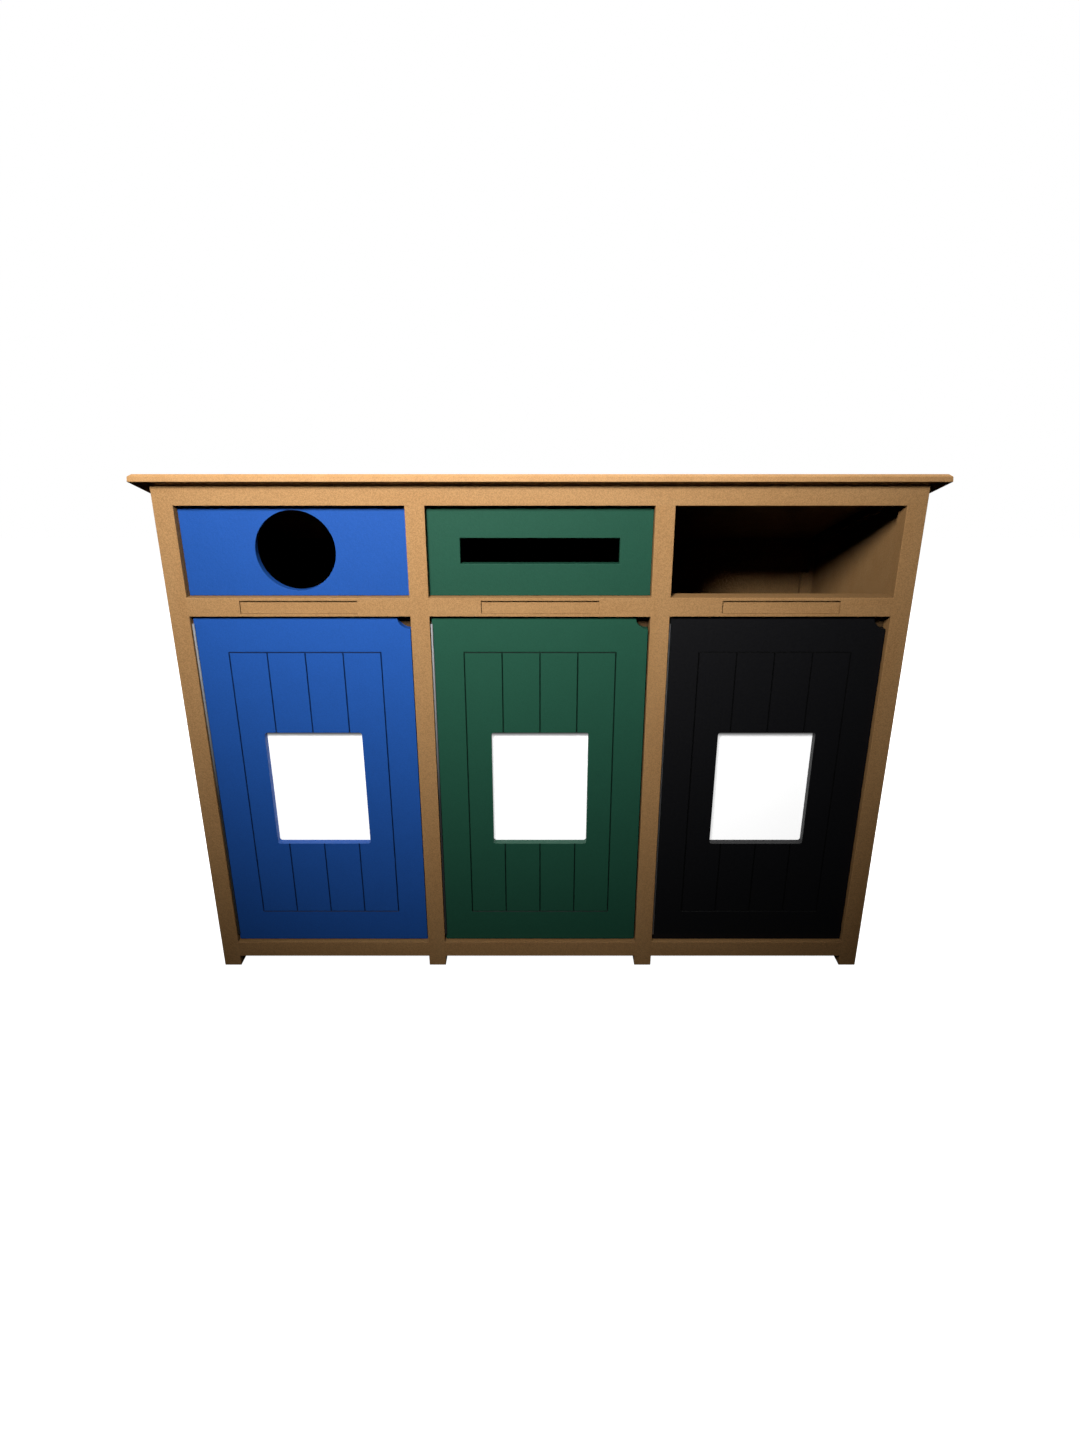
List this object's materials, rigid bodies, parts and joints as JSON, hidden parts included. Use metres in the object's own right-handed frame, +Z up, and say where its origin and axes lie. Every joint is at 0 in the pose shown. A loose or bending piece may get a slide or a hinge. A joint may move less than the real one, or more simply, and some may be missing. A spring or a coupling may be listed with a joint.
{
  "type": "recycling bin station",
  "caption": "Recycled-plastic recycling station with a sloping roof, round, slotted and open throw-ins, and hinged colour-coded doors in front of lift-out liners.",
  "frame": {"origin": "centre of the footprint of the whole station, roof included, on the floor", "axes": "+Z up, +X to the right as seen from the front, the doors face -Y"},
  "size_m": [1.638, 0.6844, 1.1879],
  "materials": {
    "tan_lumber": "through-coloured recycled plastic lumber with a fine orange-peel grain",
    "blue_lumber": "blue sheet of the same plastic, fine grain",
    "green_lumber": "green sheet of the same plastic, fine grain",
    "black_lumber": "black sheet of the same plastic, fine grain",
    "sign_sheet": "smooth white blank sign sheet",
    "stainless_steel": "satin stainless steel",
    "liner_plastic": "moulded grey polyethylene",
    "catch_plastic": "black catch body"
  },
  "bodies": {
    "cabinet": {"front_post_outer_left": "tan_lumber", "front_post_inner_left": "tan_lumber", "front_post_inner_right": "tan_lumber", "front_post_outer_right": "tan_lumber", "rear_post_outer_left": "tan_lumber", "rear_post_inner_left": "tan_lumber", "rear_post_inner_right": "tan_lumber", "rear_post_outer_right": "tan_lumber", "front_top_rail": "tan_lumber", "rear_top_rail": "tan_lumber", "middle_rail_left": "tan_lumber", "middle_rail_middle": "tan_lumber", "middle_rail_right": "tan_lumber", "bottom_rail_left": "tan_lumber", "bottom_rail_middle": "tan_lumber", "bottom_rail_right": "tan_lumber", "rear_bottom_rails": "tan_lumber", "side_bottom_rails": "tan_lumber", "side_panel_left": "tan_lumber", "side_panel_right": "tan_lumber", "divider_left": "tan_lumber", "divider_right": "tan_lumber", "back_panels": "tan_lumber", "floor_panel": "tan_lumber", "floor_ledgers": "tan_lumber", "roof_panel": "tan_lumber", "roof_cleats": "tan_lumber", "can_opening_panel": "blue_lumber", "paper_opening_panel": "green_lumber", "panel_battens": "tan_lumber", "door_stops": "tan_lumber", "hinge_frame_leaf_left": "stainless_steel", "hinge_frame_leaf_middle": "stainless_steel", "hinge_frame_leaf_right": "stainless_steel", "hinge_pin_left": "stainless_steel", "hinge_pin_middle": "stainless_steel", "hinge_pin_right": "stainless_steel", "door_catches": "catch_plastic", "cabinet_screws": "stainless_steel"},
    "door_left": {"door_panel_left": "blue_lumber", "sign_sheet_left": "sign_sheet", "sign_backer_left": "black_lumber", "hinge_door_leaf_left": "stainless_steel", "strike_plate_left": "stainless_steel", "door_screws_left": "stainless_steel"},
    "door_middle": {"door_panel_middle": "green_lumber", "sign_sheet_middle": "sign_sheet", "sign_backer_middle": "black_lumber", "hinge_door_leaf_middle": "stainless_steel", "strike_plate_middle": "stainless_steel", "door_screws_middle": "stainless_steel"},
    "door_right": {"door_panel_right": "black_lumber", "sign_sheet_right": "sign_sheet", "sign_backer_right": "black_lumber", "hinge_door_leaf_right": "stainless_steel", "strike_plate_right": "stainless_steel", "door_screws_right": "stainless_steel"},
    "liner_left": {"liner_left": "liner_plastic"},
    "liner_middle": {"liner_middle": "liner_plastic"},
    "liner_right": {"liner_right": "liner_plastic"}
  },
  "joints": [
    {"name": "door_left_swing", "type": "hinge", "parent": "cabinet", "child": "door_left", "pos_m": [-0.7434, -0.30781, 0.4805], "axis": [0, 0, -1], "range_deg": [0, 110]},
    {"name": "door_middle_swing", "type": "hinge", "parent": "cabinet", "child": "door_middle", "pos_m": [-0.2324, -0.30781, 0.4805], "axis": [0, 0, -1], "range_deg": [0, 110]},
    {"name": "door_right_swing", "type": "hinge", "parent": "cabinet", "child": "door_right", "pos_m": [0.2786, -0.30781, 0.4805], "axis": [0, 0, -1], "range_deg": [0, 110]},
    {"name": "liner_left_lift", "type": "slide", "parent": "cabinet", "child": "liner_left", "axis": [0, 0, 1], "range_m": [0, 0.06]},
    {"name": "liner_middle_lift", "type": "slide", "parent": "cabinet", "child": "liner_middle", "axis": [0, 0, 1], "range_m": [0, 0.06]},
    {"name": "liner_right_lift", "type": "slide", "parent": "cabinet", "child": "liner_right", "axis": [0, 0, 1], "range_m": [0, 0.06]}
  ]
}
